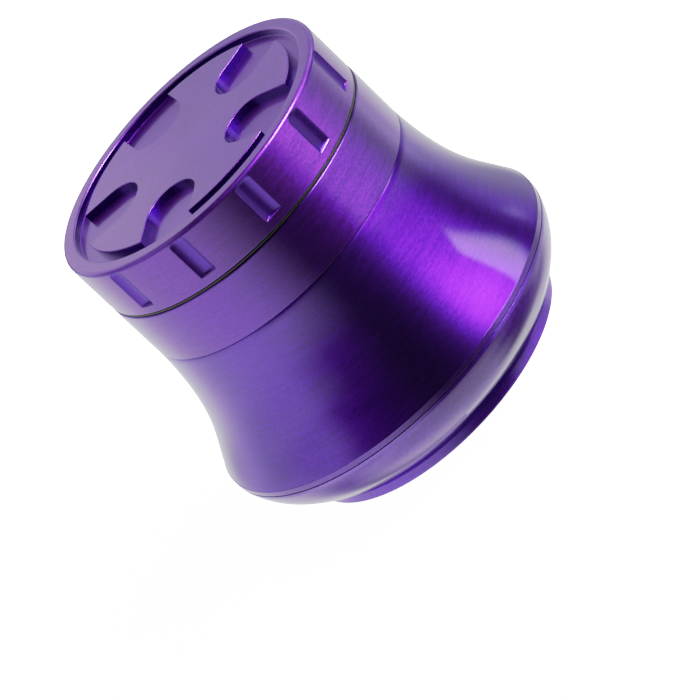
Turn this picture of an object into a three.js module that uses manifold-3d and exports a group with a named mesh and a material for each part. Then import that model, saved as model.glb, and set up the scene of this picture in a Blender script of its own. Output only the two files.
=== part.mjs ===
// Hand grinder for herbs and spices, turned from purple anodised aluminium.
//
// From the bench up: a bevelled catcher bowl on a foot ring, a flared storage
// chamber with a sieve, a grinding chamber with drop holes, and a toothed lid
// that two magnets hold. The bowl and the storage chamber, and the storage and
// the grinding chamber, screw together with coarse two-start threads.
//
// Millimetres, +Z up, the foot ring stands on z = 0.
import * as THREE from "three";
import { mergeVertices } from "three/addons/utils/BufferGeometryUtils.js";
import Module from "manifold-3d";

const wasm = await Module();
wasm.setup();

// ---------------------------------------------------------------- driving sizes

const FACETS = 36; // round every turned surface
const FACET_ANGLE = (2 * Math.PI) / FACETS;

const BASE_RADIUS = 31.75; // the widest circle, where the flare meets the bevel
const DRUM_RADIUS = 25.05; // the grinding chamber, and the neck of the flare
const LID_RADIUS = 25;

const BOWL_HEIGHT = 11.2; // from the bench to the shoulder under the storage chamber
const STORAGE_HEIGHT = 23.95;
const CHAMBER_HEIGHT = 9.45;
const LID_HEIGHT = 9.4;

const FOOT_SEAM = 0.25; // the open line between bowl and storage chamber
const NECK_SEAM = 0.35; // between storage and grinding chamber
const LID_SEAM = 0.55; // between grinding chamber and lid, nearly filled by the glide ring

const STORAGE_FOOT = BOWL_HEIGHT + FOOT_SEAM;
const CHAMBER_FOOT = STORAGE_FOOT + STORAGE_HEIGHT + NECK_SEAM;
const LID_FOOT = CHAMBER_FOOT + CHAMBER_HEIGHT + LID_SEAM;

const EDGE = 0.3; // the small chamfer that breaks a turned edge

// Two ridges, half a turn apart, climb one lead in each turn. Heights of a ridge are
// those of its middle. An inner ridge lies half a pitch above the outer one.
const THREAD = {
  starts: 2,
  pitch: 1.5,
  depth: 0.8,
  rootHalf: 0.4,
  crestHalf: 0.18,
  play: 0.3, // from the crest of one ridge to the wall of the other
  embed: 0.3, // how far a ridge reaches into its wall
  runOut: 3, // facets over which an end sinks into the wall
};
const LEAD = THREAD.starts * THREAD.pitch;

const BOWL_THREAD_WALL = 25.6; // outer wall of the bowl's collar
const NECK_THREAD_WALL = 21.5; // outer wall of the grinding chamber's skirt
const innerWall = (outerWall) => outerWall + THREAD.depth + THREAD.play;

const COLLAR_HEIGHT = 4.4; // above the bowl's shoulder
const BOWL_RIDGE = 0.7; // lowest ridge, above the bowl's shoulder
const SKIRT_DEPTH = 5.55; // below the grinding chamber's foot
const NECK_RIDGE = -5.05; // lowest ridge, from the grinding chamber's foot

const SEAL = { section: 1.1, bowlRadius: 28.7, neckRadius: 22.45 };

const MAGNET = { radius: 4, height: 2.3, pocketRadius: 4.15, bossRadius: 5.2 };

// Teeth stand in rings that pass between each other: two rings on the floor of the
// grinding chamber and two under the lid.
const TOOTH = { halfWidth: 1.2, halfLength: 1.75, tip: 0.78, root: 0.5 };
const FLOOR_TEETH = [
  { radius: 10.9, count: 6, first: 30 },
  { radius: 17.3, count: 12, first: 15 },
];
const LID_TEETH = [
  { radius: 7.6, count: 5, first: 18 },
  { radius: 14.2, count: 10, first: 0 },
];
const DROP_HOLE_RADIUS = 1.7;
const DROP_HOLES = [
  { radius: 7.6, count: 6, first: 30 },
  { radius: 10.9, count: 6, first: 0 },
  { radius: 14.2, count: 12, first: 15 },
  { radius: 17.3, count: 12, first: 0 },
];

const CHAMBER_FLOOR = { low: 1.15, high: 3.85 }; // above the grinding chamber's foot
const CHAMBER_BORE = 22.85;
const LID_BORE = 20.2;
const LID_CEILING = 4.65; // above the lid's foot
const SPIGOT = { radius: 22, depth: 3.55 };
const TOOTH_CLEARANCE = 0.6; // from the tips of the teeth to the face across from them

const GRIP_NOTCH = { count: 12, width: 3, floorWidth: 1.4, low: 1.45, high: 8.95, depth: 0.6 };
const TOP_RECESS = { radius: 22.42, depth: 1.35 };
const ROSETTE = { radius: 20.48, scallops: 5, scallopHalf: 4.8, scallopCentre: 14.5 };

const SIEVE = {
  bore: 25.4,
  ledgeRadius: 23,
  ledge: 7.95, // height of the ledge above the storage chamber's foot
  gasket: 0.35,
  frameRadius: 25.2,
  frameHeight: 0.85,
  meshThickness: 0.16,
  snapRadius: 25.2, // middle of the snap ring's wire
  snapHalf: 0.65,
  snapHeight: 0.7,
};

// ------------------------------------------------------------------- materials

const paint = (color, metalness, roughness) =>
  new THREE.MeshStandardMaterial({ color, metalness, roughness });

const MATERIALS = {
  anodised: paint(0x4b1d99, 0.9, 0.35),
  rubber: paint(0x16161a, 0, 0.6),
  nylon: paint(0x2c302a, 0, 0.35),
  silicone: paint(0xd8d6cf, 0, 0.5),
  steel: paint(0xb9bbbd, 1, 0.3),
  nickel: paint(0xc9c6bf, 1, 0.18),
};

// --------------------------------------------------------------- shape helpers

/** A closed solid from a three.js geometry. */
function solid(geometry) {
  geometry.deleteAttribute("normal");
  geometry.deleteAttribute("uv");
  const merged = mergeVertices(geometry, 1e-4);
  const corners = merged.index.array;
  const triangles = [];
  for (let i = 0; i < corners.length; i += 3) {
    const [a, b, c] = corners.slice(i, i + 3);
    if (a !== b && b !== c && c !== a) triangles.push(a, b, c);
  }
  return new wasm.Manifold(
    new wasm.Mesh({
      numProp: 3,
      vertProperties: new Float32Array(merged.attributes.position.array),
      triVerts: new Uint32Array(triangles),
    }),
  );
}

/** A solid of revolution. The profile runs counter-clockwise, as [radius, height] points. */
function turned(profile) {
  const points = profile.map(([radius, height]) => new THREE.Vector2(radius, height));
  return solid(new THREE.LatheGeometry(points, FACETS).rotateX(Math.PI / 2));
}

/** A turned ring: its profile closes on itself. */
function turnedRing(profile) {
  return turned([...profile, profile[0]]);
}

/** A ring of rectangular section. */
function flatRing(innerRadius, outerRadius, low, high) {
  return turnedRing([
    [innerRadius, low],
    [outerRadius, low],
    [outerRadius, high],
    [innerRadius, high],
  ]);
}

/** The points of an arc in a profile, angles in degrees. */
function arc(radius, height, size, from, to, steps) {
  const points = [];
  for (let i = 0; i <= steps; i += 1) {
    const angle = THREE.MathUtils.degToRad(from + ((to - from) * i) / steps);
    points.push([radius + size * Math.cos(angle), height + size * Math.sin(angle)]);
  }
  return points;
}

/** The points of a three.js plane curve, as [radius, height] pairs. */
function along(curve, steps) {
  return curve.getPoints(steps).map((point) => [point.x, point.y]);
}

/** Calls place(radius, angle) for every item of a list of rings, angle in radians. */
function forRings(rings, place) {
  for (const { radius, count, first } of rings) {
    for (let i = 0; i < count; i += 1) {
      place(radius, THREE.MathUtils.degToRad(first + (360 * i) / count));
    }
  }
}

/**
 * A straight bar, bent round the Z axis. The section holds [stand, height] points, and
 * stand is measured from the wall: outwards where side is 1 and inwards where it is -1.
 * The bar spans a number of facets, climbs by rise, and sinks into the wall at its ends.
 */
function bentBar(section, wall, side, start, facets, rise, runOut) {
  const outline = new THREE.Shape(section.map(([stand, height]) => new THREE.Vector2(stand, height)));
  const bar = new THREE.ExtrudeGeometry(outline, { depth: 1, steps: facets, bevelEnabled: false });
  const position = bar.attributes.position;
  for (let i = 0; i < position.count; i += 1) {
    // An outer bar is laid backwards, which keeps its faces turned outwards.
    const share = side > 0 ? 1 - position.getZ(i) : position.getZ(i);
    const fromEnd = Math.min(share, 1 - share) * facets;
    const sink = Math.min(1, (fromEnd + 0.3) / runOut);
    const stand = position.getX(i);
    const radius = wall + side * (stand > 0 ? stand * sink : stand);
    const angle = start + share * facets * FACET_ANGLE;
    position.setXYZ(
      i,
      radius * Math.cos(angle),
      radius * Math.sin(angle),
      position.getY(i) + share * rise,
    );
  }
  return solid(bar);
}

/** Adds a two-start thread to a body. lowest is the height at which each ridge begins. */
function addThread(body, wall, side, lowest, turns) {
  const slope = (THREAD.rootHalf - THREAD.crestHalf) / THREAD.depth;
  const buriedHalf = THREAD.rootHalf + THREAD.embed * slope;
  const section = [
    [-THREAD.embed, -buriedHalf],
    [THREAD.depth, -THREAD.crestHalf],
    [THREAD.depth, THREAD.crestHalf],
    [-THREAD.embed, buriedHalf],
  ];
  const facets = Math.round(turns * FACETS);
  const rise = (LEAD * facets) / FACETS;
  let threaded = body;
  for (let i = 0; i < THREAD.starts; i += 1) {
    const start = (2 * Math.PI * i) / THREAD.starts;
    const ridge = bentBar(section, wall, side, start, facets, rise, THREAD.runOut);
    threaded = threaded.add(ridge.translate([0, 0, lowest]));
  }
  return threaded;
}

/** A diamond tooth between two heights, narrower at its tip. It points up or down. */
function tooth(radius, angle, low, high, pointsUp) {
  const top = pointsUp ? TOOTH.tip : 1;
  const bottom = pointsUp ? 1 : TOOTH.tip;
  const body = new THREE.CylinderGeometry(top, bottom, high - low, 4);
  body.rotateX(Math.PI / 2);
  body.scale(TOOTH.halfWidth, TOOTH.halfLength, 1);
  body.translate(radius, 0, (low + high) / 2);
  body.rotateZ(angle);
  return solid(body);
}

/** A mesh of the scene, from a finished solid. */
function part(name, body, material) {
  const { vertProperties, triVerts } = body.getMesh();
  const geometry = new THREE.BufferGeometry();
  geometry.setAttribute("position", new THREE.BufferAttribute(new Float32Array(vertProperties), 3));
  geometry.setIndex(new THREE.BufferAttribute(new Uint32Array(triVerts), 1));
  geometry.computeVertexNormals();
  const mesh = new THREE.Mesh(geometry, material);
  mesh.name = name;
  return mesh;
}

// ---------------------------------------------------------------- catcher bowl

/** The bowl under everything: foot ring, polished bevel and threaded collar. */
function catcherBowl() {
  const foot = { radius: 24.23, neck: 23.9, lip: 1.8, recess: 21.3, recessDepth: 0.5 };
  const bevel = { radius: 26.9, height: 4.06, bulge: [30.4, 6.75] };
  const bowl = { radius: 22.9, floor: 2.6, corner: 3 };
  const collarTop = BOWL_HEIGHT + COLLAR_HEIGHT;

  const bevelCurve = new THREE.QuadraticBezierCurve(
    new THREE.Vector2(bevel.radius, bevel.height),
    new THREE.Vector2(...bevel.bulge),
    new THREE.Vector2(BASE_RADIUS, BOWL_HEIGHT - EDGE),
  );
  const cornerHeight = bowl.floor + bowl.corner;
  const body = turned([
    [0, foot.recessDepth],
    [foot.recess, foot.recessDepth],
    [foot.recess + foot.recessDepth, 0],
    [foot.radius - EDGE, 0],
    [foot.radius, EDGE],
    [foot.radius, foot.lip],
    [foot.neck, foot.lip + EDGE],
    [foot.neck, bevel.height - EDGE],
    [bevel.radius - EDGE, bevel.height - EDGE],
    ...along(bevelCurve, 4),
    [BASE_RADIUS - EDGE, BOWL_HEIGHT],
    [BOWL_THREAD_WALL, BOWL_HEIGHT],
    [BOWL_THREAD_WALL, collarTop - EDGE],
    [BOWL_THREAD_WALL - EDGE, collarTop],
    [bowl.radius + EDGE, collarTop],
    [bowl.radius, collarTop - EDGE],
    ...arc(bowl.radius - bowl.corner, cornerHeight, bowl.corner, 0, -90, 3),
    [0, bowl.floor],
  ]);
  return addThread(body, BOWL_THREAD_WALL, 1, BOWL_HEIGHT + BOWL_RIDGE, 1.06);
}

/** A seal ring of round section, whose lowest point is at height 0. */
function sealRing(radius) {
  const half = SEAL.section / 2;
  const section = arc(radius, half, half, 0, 360, 6);
  return turnedRing(section.slice(0, -1));
}

// ------------------------------------------------------------- storage chamber

/** The flared chamber. Heights are measured from its foot. */
function storageChamber() {
  const land = { height: 1.05 }; // polished band along the foot
  const sealGroove = { half: 0.7, depth: 1.05 };
  const threadTop = 4.95;
  const snapGroove = { low: 5.45, high: 6.45, radius: 26 };
  const cavity = { low: 23.2, high: 21.2, neck: 18.35 };
  const sealSeat = { radius: 23.6, height: STORAGE_HEIGHT - 1 };
  const bowlWall = innerWall(BOWL_THREAD_WALL);
  const neckWall = innerWall(NECK_THREAD_WALL);

  const flare = new THREE.CubicBezierCurve(
    new THREE.Vector2(BASE_RADIUS - 0.1, land.height),
    new THREE.Vector2(29.54, 5.69),
    new THREE.Vector2(25.74, 9.22),
    new THREE.Vector2(DRUM_RADIUS + 0.03, STORAGE_HEIGHT - EDGE),
  );
  const body = turnedRing([
    [bowlWall + EDGE, 0],
    [SEAL.bowlRadius - sealGroove.half, 0],
    [SEAL.bowlRadius - sealGroove.half, sealGroove.depth],
    [SEAL.bowlRadius + sealGroove.half, sealGroove.depth],
    [SEAL.bowlRadius + sealGroove.half, 0],
    [BASE_RADIUS - EDGE / 2, 0],
    [BASE_RADIUS, EDGE / 2],
    [BASE_RADIUS, land.height - EDGE / 2],
    ...along(flare, 8),
    [DRUM_RADIUS - EDGE, STORAGE_HEIGHT],
    [sealSeat.radius, STORAGE_HEIGHT],
    [sealSeat.radius, sealSeat.height],
    [neckWall, sealSeat.height],
    [neckWall, cavity.neck],
    [cavity.high, cavity.neck],
    [cavity.low, SIEVE.ledge + 1.5],
    [SIEVE.ledgeRadius, SIEVE.ledge],
    [SIEVE.bore, SIEVE.ledge],
    [SIEVE.bore, snapGroove.high],
    [snapGroove.radius, snapGroove.high],
    [snapGroove.radius, snapGroove.low],
    [SIEVE.bore, snapGroove.low],
    [SIEVE.bore, threadTop],
    [bowlWall, threadTop],
    [bowlWall, EDGE],
  ]);
  const halfPitch = THREAD.pitch / 2;
  const bowlRidge = BOWL_RIDGE + halfPitch - FOOT_SEAM;
  const neckRidge = STORAGE_HEIGHT + NECK_SEAM + NECK_RIDGE + halfPitch;
  const withBowlThread = addThread(body, bowlWall, -1, bowlRidge, 1);
  return addThread(withBowlThread, neckWall, -1, neckRidge, 0.83);
}

/** The hoop of the sieve, with the groove that grips the mesh. Its underside is at 0. */
function sieveFrame() {
  const inner = SIEVE.ledgeRadius + 0.4;
  const groove = { radius: 24.3, half: 0.15 };
  const middle = SIEVE.frameHeight / 2;
  return turnedRing([
    [inner, 0],
    [SIEVE.frameRadius, 0],
    [SIEVE.frameRadius, SIEVE.frameHeight],
    [inner, SIEVE.frameHeight],
    [inner, middle + groove.half],
    [groove.radius, middle + groove.half],
    [groove.radius, middle - groove.half],
    [inner, middle - groove.half],
  ]);
}

/** The woven disc of the sieve, as a plain disc through the middle of its hoop. */
function sieveMesh() {
  const radius = 24.15;
  return turned([
    [0, -SIEVE.meshThickness / 2],
    [radius, -SIEVE.meshThickness / 2],
    [radius, SIEVE.meshThickness / 2],
    [0, SIEVE.meshThickness / 2],
  ]);
}

/** The C-shaped ring that snaps into its groove and holds the sieve up. */
function snapRing() {
  const openFacets = 4;
  const section = [
    [-SIEVE.snapHalf, 0],
    [SIEVE.snapHalf, 0],
    [SIEVE.snapHalf, SIEVE.snapHeight],
    [-SIEVE.snapHalf, SIEVE.snapHeight],
  ];
  const start = (openFacets / 2) * FACET_ANGLE;
  return bentBar(section, SIEVE.snapRadius, 1, start, FACETS - openFacets, 0, 0.3);
}

// ------------------------------------------------------------ grinding chamber

/** The drum with the toothed floor. Heights are measured from its foot. */
function grindingChamber() {
  const skirtBore = 19.9;
  const bossTop = 7.65;
  const pocketFloor = bossTop - MAGNET.height - 0.2;
  const toothTop = CHAMBER_HEIGHT + LID_SEAM + LID_CEILING - TOOTH_CLEARANCE;

  let body = turned([
    [0, CHAMBER_FLOOR.low],
    [skirtBore, CHAMBER_FLOOR.low],
    [skirtBore, -SKIRT_DEPTH],
    [NECK_THREAD_WALL - EDGE, -SKIRT_DEPTH],
    [NECK_THREAD_WALL, EDGE - SKIRT_DEPTH],
    [NECK_THREAD_WALL, 0],
    [DRUM_RADIUS - EDGE, 0],
    [DRUM_RADIUS, EDGE],
    [DRUM_RADIUS, CHAMBER_HEIGHT - EDGE],
    [DRUM_RADIUS - EDGE, CHAMBER_HEIGHT],
    [CHAMBER_BORE + EDGE, CHAMBER_HEIGHT],
    [CHAMBER_BORE, CHAMBER_HEIGHT - EDGE],
    [CHAMBER_BORE, CHAMBER_FLOOR.high + 1],
    [CHAMBER_BORE - 1, CHAMBER_FLOOR.high],
    [MAGNET.bossRadius, CHAMBER_FLOOR.high],
    [MAGNET.bossRadius, bossTop],
    [MAGNET.pocketRadius, bossTop],
    [MAGNET.pocketRadius, pocketFloor],
    [0, pocketFloor],
  ]);
  body = addThread(body, NECK_THREAD_WALL, 1, NECK_RIDGE, 1.06);
  forRings(FLOOR_TEETH, (radius, angle) => {
    body = body.add(tooth(radius, angle, CHAMBER_FLOOR.high - TOOTH.root, toothTop, true));
  });
  forRings(DROP_HOLES, (radius, angle) => {
    const drill = new THREE.CylinderGeometry(DROP_HOLE_RADIUS, DROP_HOLE_RADIUS, CHAMBER_HEIGHT, 8);
    drill.rotateX(Math.PI / 2);
    drill.translate(radius, 0, (CHAMBER_FLOOR.low + CHAMBER_FLOOR.high) / 2);
    drill.rotateZ(angle);
    body = body.subtract(solid(drill));
  });
  return body;
}

/** A magnet disc that stands on height 0. */
function magnet() {
  const edge = 0.2;
  return turned([
    [0, 0],
    [MAGNET.radius - edge, 0],
    [MAGNET.radius, edge],
    [MAGNET.radius, MAGNET.height - edge],
    [MAGNET.radius - edge, MAGNET.height],
    [0, MAGNET.height],
  ]);
}

/** The low-friction ring on the lid's spigot. Heights are measured from the lid's foot. */
function glideRing() {
  const flange = { radius: 24.85, high: -0.1, low: -0.45 };
  const sleeve = { inner: 22.2, outer: 22.65, low: -2.75 };
  return turnedRing([
    [sleeve.inner, sleeve.low],
    [sleeve.outer, sleeve.low],
    [sleeve.outer, flange.low],
    [flange.radius, flange.low],
    [flange.radius, flange.high],
    [sleeve.inner, flange.high],
  ]);
}

// ------------------------------------------------------------------------- lid

/** The cutter of one grip notch at the -Y side of the lid: a shallow trough with a round top end. */
function gripNotch() {
  const { width, floorWidth, low, high, depth } = GRIP_NOTCH;
  const half = width / 2;
  const reach = 2 * depth;
  const corner = 0.9; // corner radius at the top end

  // Across the trough, seen from above: [distance from its middle, distance from the lid's axis].
  const side = [
    [floorWidth / 2, LID_RADIUS - depth],
    [0.8 * half, LID_RADIUS - 0.7 * depth],
    [half, LID_RADIUS],
    [half + 0.3, LID_RADIUS + depth],
  ];
  const right = side.map(([across, out]) => new THREE.Vector2(across, -out));
  const left = side.map(([across, out]) => new THREE.Vector2(-across, -out)).reverse();
  const section = new THREE.Shape([...right, ...left]);
  const trough = new THREE.ExtrudeGeometry(section, { depth: high - low, bevelEnabled: false });
  trough.translate(0, 0, low);

  const outline = new THREE.Shape();
  outline.moveTo(-half, low - 1);
  outline.lineTo(half, low - 1);
  outline.lineTo(half, high - corner);
  outline.absarc(half - corner, high - corner, corner, 0, Math.PI / 2);
  outline.absarc(-half + corner, high - corner, corner, Math.PI / 2, Math.PI);
  const slab = new THREE.ExtrudeGeometry(outline, { depth: 2 * reach, bevelEnabled: false, curveSegments: 3 });
  slab.rotateX(Math.PI / 2);
  slab.translate(0, reach - LID_RADIUS, 0);
  return solid(trough).intersect(solid(slab));
}

/** The raised disc on the lid, with U-shaped scallops round its edge. */
function rosette() {
  const { radius, scallops, scallopHalf, scallopCentre } = ROSETTE;
  const halfAngle = Math.asin(scallopHalf / radius);
  const pitch = (2 * Math.PI) / scallops;
  const outline = new THREE.Shape();
  for (let i = 0; i < scallops; i += 1) {
    const middle = Math.PI / 2 + pitch * i;
    const centreX = scallopCentre * Math.cos(middle);
    const centreY = scallopCentre * Math.sin(middle);
    outline.absarc(centreX, centreY, scallopHalf, middle - Math.PI / 2, middle + Math.PI / 2, true);
    outline.absarc(0, 0, radius, middle + halfAngle, middle + pitch - halfAngle);
  }
  const disc = new THREE.ExtrudeGeometry(outline, {
    depth: TOP_RECESS.depth + 0.5,
    bevelEnabled: false,
    curveSegments: 8,
  });
  return solid(disc).translate([0, 0, LID_HEIGHT - TOP_RECESS.depth - 0.5]);
}

/** The lid, with its spigot, teeth and magnet boss. Heights are measured from its foot. */
function lid() {
  const fillet = 0.55;
  const bossFoot = -1.85;
  const pocketRoof = bossFoot + MAGNET.height + 0.2;
  const recessFloor = LID_HEIGHT - TOP_RECESS.depth;
  const toothTip = CHAMBER_FLOOR.high + TOOTH_CLEARANCE - CHAMBER_HEIGHT - LID_SEAM;

  let body = turned([
    [0, pocketRoof],
    [MAGNET.pocketRadius, pocketRoof],
    [MAGNET.pocketRadius, bossFoot],
    [MAGNET.bossRadius, bossFoot],
    [MAGNET.bossRadius, LID_CEILING],
    [LID_BORE - 1, LID_CEILING],
    [LID_BORE, LID_CEILING - 1],
    [LID_BORE, -SPIGOT.depth],
    [SPIGOT.radius - EDGE, -SPIGOT.depth],
    [SPIGOT.radius, EDGE - SPIGOT.depth],
    [SPIGOT.radius, 0],
    [LID_RADIUS - EDGE, 0],
    [LID_RADIUS, EDGE],
    ...arc(LID_RADIUS - fillet, LID_HEIGHT - fillet, fillet, 0, 90, 3),
    [TOP_RECESS.radius + EDGE / 2, LID_HEIGHT],
    [TOP_RECESS.radius, LID_HEIGHT - EDGE / 2],
    [TOP_RECESS.radius, recessFloor],
    [0, recessFloor],
  ]);
  body = body.add(rosette());
  forRings(LID_TEETH, (radius, angle) => {
    body = body.add(tooth(radius, angle, toothTip, LID_CEILING + TOOTH.root, false));
  });
  for (let i = 0; i < GRIP_NOTCH.count; i += 1) {
    body = body.subtract(gripNotch().rotate([0, 0, (360 * i) / GRIP_NOTCH.count]));
  }
  return body;
}

// -------------------------------------------------------------------- assembly

/** A mesh placed at a height above the foot of its group. */
function at(height, mesh) {
  mesh.position.z = height;
  return mesh;
}

/** A group that stands at a height above the bench. */
function stack(height, ...members) {
  const group = new THREE.Group();
  group.position.z = height;
  group.add(...members);
  return group;
}

const frameHeight = SIEVE.ledge - 0.2 - SIEVE.gasket - SIEVE.frameHeight;
const gasketHeight = frameHeight + SIEVE.frameHeight + 0.1;
const meshHeight = frameHeight + SIEVE.frameHeight / 2;
const snapHeight = frameHeight - 0.25 - SIEVE.snapHeight;
const gasketBody = flatRing(SIEVE.ledgeRadius + 0.3, SIEVE.bore - 0.3, 0, SIEVE.gasket);

const grinder = new THREE.Group();
grinder.add(
  stack(0, part("catcher_bowl", catcherBowl(), MATERIALS.anodised)),
  stack(
    STORAGE_FOOT,
    part("storage_chamber", storageChamber(), MATERIALS.anodised),
    at(-0.1, part("catcher_seal", sealRing(SEAL.bowlRadius), MATERIALS.rubber)),
    at(gasketHeight, part("sieve_gasket", gasketBody, MATERIALS.silicone)),
    at(frameHeight, part("sieve_frame", sieveFrame(), MATERIALS.steel)),
    at(meshHeight, part("sieve_mesh", sieveMesh(), MATERIALS.steel)),
    at(snapHeight, part("sieve_snap_ring", snapRing(), MATERIALS.steel)),
  ),
  stack(
    CHAMBER_FOOT,
    part("grinding_chamber", grindingChamber(), MATERIALS.anodised),
    at(-1.2, part("chamber_seal", sealRing(SEAL.neckRadius), MATERIALS.rubber)),
    at(5.25, part("chamber_magnet", magnet(), MATERIALS.nickel)),
  ),
  stack(
    LID_FOOT,
    part("lid", lid(), MATERIALS.anodised),
    part("glide_ring", glideRing(), MATERIALS.nylon),
    at(-1.75, part("lid_magnet", magnet(), MATERIALS.nickel)),
  ),
);

export default grinder;
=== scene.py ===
import math

import bmesh
import bpy
import numpy as np
from mathutils import Matrix, Vector


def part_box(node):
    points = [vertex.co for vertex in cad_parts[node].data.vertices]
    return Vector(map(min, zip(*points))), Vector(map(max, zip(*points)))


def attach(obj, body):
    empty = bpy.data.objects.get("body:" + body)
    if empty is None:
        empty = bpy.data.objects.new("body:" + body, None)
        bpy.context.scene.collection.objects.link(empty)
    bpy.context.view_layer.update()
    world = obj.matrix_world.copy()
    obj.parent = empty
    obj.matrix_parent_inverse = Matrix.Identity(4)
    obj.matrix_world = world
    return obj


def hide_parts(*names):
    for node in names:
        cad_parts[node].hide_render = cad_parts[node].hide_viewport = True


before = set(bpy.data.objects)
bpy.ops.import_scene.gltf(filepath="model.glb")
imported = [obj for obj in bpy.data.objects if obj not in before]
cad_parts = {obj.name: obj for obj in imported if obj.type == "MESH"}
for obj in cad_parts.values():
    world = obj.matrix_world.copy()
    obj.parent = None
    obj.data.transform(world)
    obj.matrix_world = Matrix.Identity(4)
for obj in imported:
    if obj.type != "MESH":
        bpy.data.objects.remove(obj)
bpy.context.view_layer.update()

# Looks for the hand grinder. Every turned piece is made again as a smooth shell on the
# CAD's sizes, in millimetres from its own foot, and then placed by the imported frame.

MM = 0.001
AROUND = 256  # segments of a turned surface

# ------------------------------------------------------------------ driving sizes


def low(node):
    """The lowest height of a CAD node, in millimetres."""
    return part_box(node)[0].z / MM


def high(node):
    """The highest height of a CAD node, in millimetres."""
    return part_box(node)[1].z / MM


def radius_of(node):
    """The largest radius of a CAD node, in millimetres."""
    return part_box(node)[1].x / MM


BASE_RADIUS = radius_of("storage_chamber")
DRUM_RADIUS = radius_of("grinding_chamber")
LID_RADIUS = radius_of("lid")

SKIRT_DEPTH = 5.55
LID_HEIGHT = 9.4

BOWL_FOOT = low("catcher_bowl")
STORAGE_FOOT = low("storage_chamber")
CHAMBER_FOOT = low("grinding_chamber") + SKIRT_DEPTH
LID_FOOT = high("lid") - LID_HEIGHT

BOWL_SHOULDER = 11.2
STORAGE_HEIGHT = high("storage_chamber") - STORAGE_FOOT
CHAMBER_HEIGHT = 9.45
LID_SEAM = LID_FOOT - CHAMBER_FOOT - CHAMBER_HEIGHT

# The CAD keeps its solids a little apart. These close each visible seam to a fine line.
# The lowered drum presses slightly into the seal ring under it.
FOOT_CLOSER = 0.13
NECK_CLOSER = 0.2

THREAD_PITCH = 1.5
THREAD_STARTS = 2
THREAD_DEPTH = 0.8
THREAD_PLAY = 0.3
BOWL_THREAD_WALL = 25.6
NECK_THREAD_WALL = 21.5
BOWL_RIDGE = 0.7  # lowest ridge above the bowl's shoulder
NECK_RIDGE = -5.05  # lowest ridge from the grinding chamber's foot
LEAD = THREAD_PITCH * THREAD_STARTS

CHAMBER_FLOOR_LOW = 1.15
CHAMBER_FLOOR = 3.85
LID_CEILING = 4.65
LID_BORE = 20.2
TOOTH_CLEARANCE = 0.6

MAGNET_RADIUS = 4.0
POCKET_RADIUS = 4.15
BOSS_RADIUS = 5.2

RECESS_RADIUS = 22.42
RECESS_DEPTH = 1.35
ROSETTE_RADIUS = 20.48
SCALLOPS = 5
SCALLOP_HALF = 4.8
SCALLOP_CENTRE = 14.5

NOTCHES = 12
NOTCH_LOW = 1.4
NOTCH_HIGH = 8.95
NOTCH_HALF = 1.52
NOTCH_DEPTH = 0.62
NOTCH_LEAN = 0.22  # how far the lower end leans in

# Rings of teeth and drop holes: radius, count, angle of the first in degrees.
FLOOR_TEETH = [(10.9, 6, 30), (17.3, 12, 15)]
LID_TEETH = [(7.6, 5, 18), (14.2, 10, 0)]
DROP_HOLES = [(7.6, 6, 30), (10.9, 6, 0), (14.2, 12, 15), (17.3, 12, 0)]
DROP_HOLE_RADIUS = 1.7


def inner_wall(outer_wall):
    """The inner thread wall that goes round an outer one."""
    return outer_wall + THREAD_DEPTH + THREAD_PLAY


# ------------------------------------------------------------------------- camera

CAMERA_AZIMUTH = -93.0
CAMERA_ELEVATION = 23.58
CAMERA_ROLL = 46.64
CAMERA_DISTANCE = 0.8038
CAMERA_LENS = 280.4
AIM_RIGHT = -0.00539
AIM_DOWN = 0.0385


def camera_axes():
    """The camera's level right, up and backward directions, before it is rolled."""
    azimuth = math.radians(CAMERA_AZIMUTH)
    elevation = math.radians(CAMERA_ELEVATION)
    right = Vector((-math.sin(azimuth), math.cos(azimuth), 0))
    outward = Vector((math.cos(azimuth), math.sin(azimuth), 0))
    back = outward * math.cos(elevation) + Vector((0, 0, math.sin(elevation)))
    return right, back.cross(right), back


def make_camera():
    """A long lens, rolled so that the grinder leans to the upper left."""
    right, up, back = camera_axes()
    data = bpy.data.cameras.new("camera")
    data.lens = CAMERA_LENS
    data.sensor_width = 36
    data.clip_end = 20
    camera = bpy.data.objects.new("camera", data)
    bpy.context.scene.collection.objects.link(camera)
    top = Vector((0, 0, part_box("lid")[1].z))
    place = top + right * AIM_RIGHT - up * AIM_DOWN + back * CAMERA_DISTANCE
    roll = math.radians(CAMERA_ROLL)
    across = right * math.cos(roll) - up * math.sin(roll)
    upward = right * math.sin(roll) + up * math.cos(roll)
    facing = Matrix((across, upward, back)).transposed().to_4x4()
    camera.matrix_world = Matrix.Translation(place) @ facing
    bpy.context.scene.camera = camera


make_camera()

# ---------------------------------------------------------------- shader node help


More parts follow.
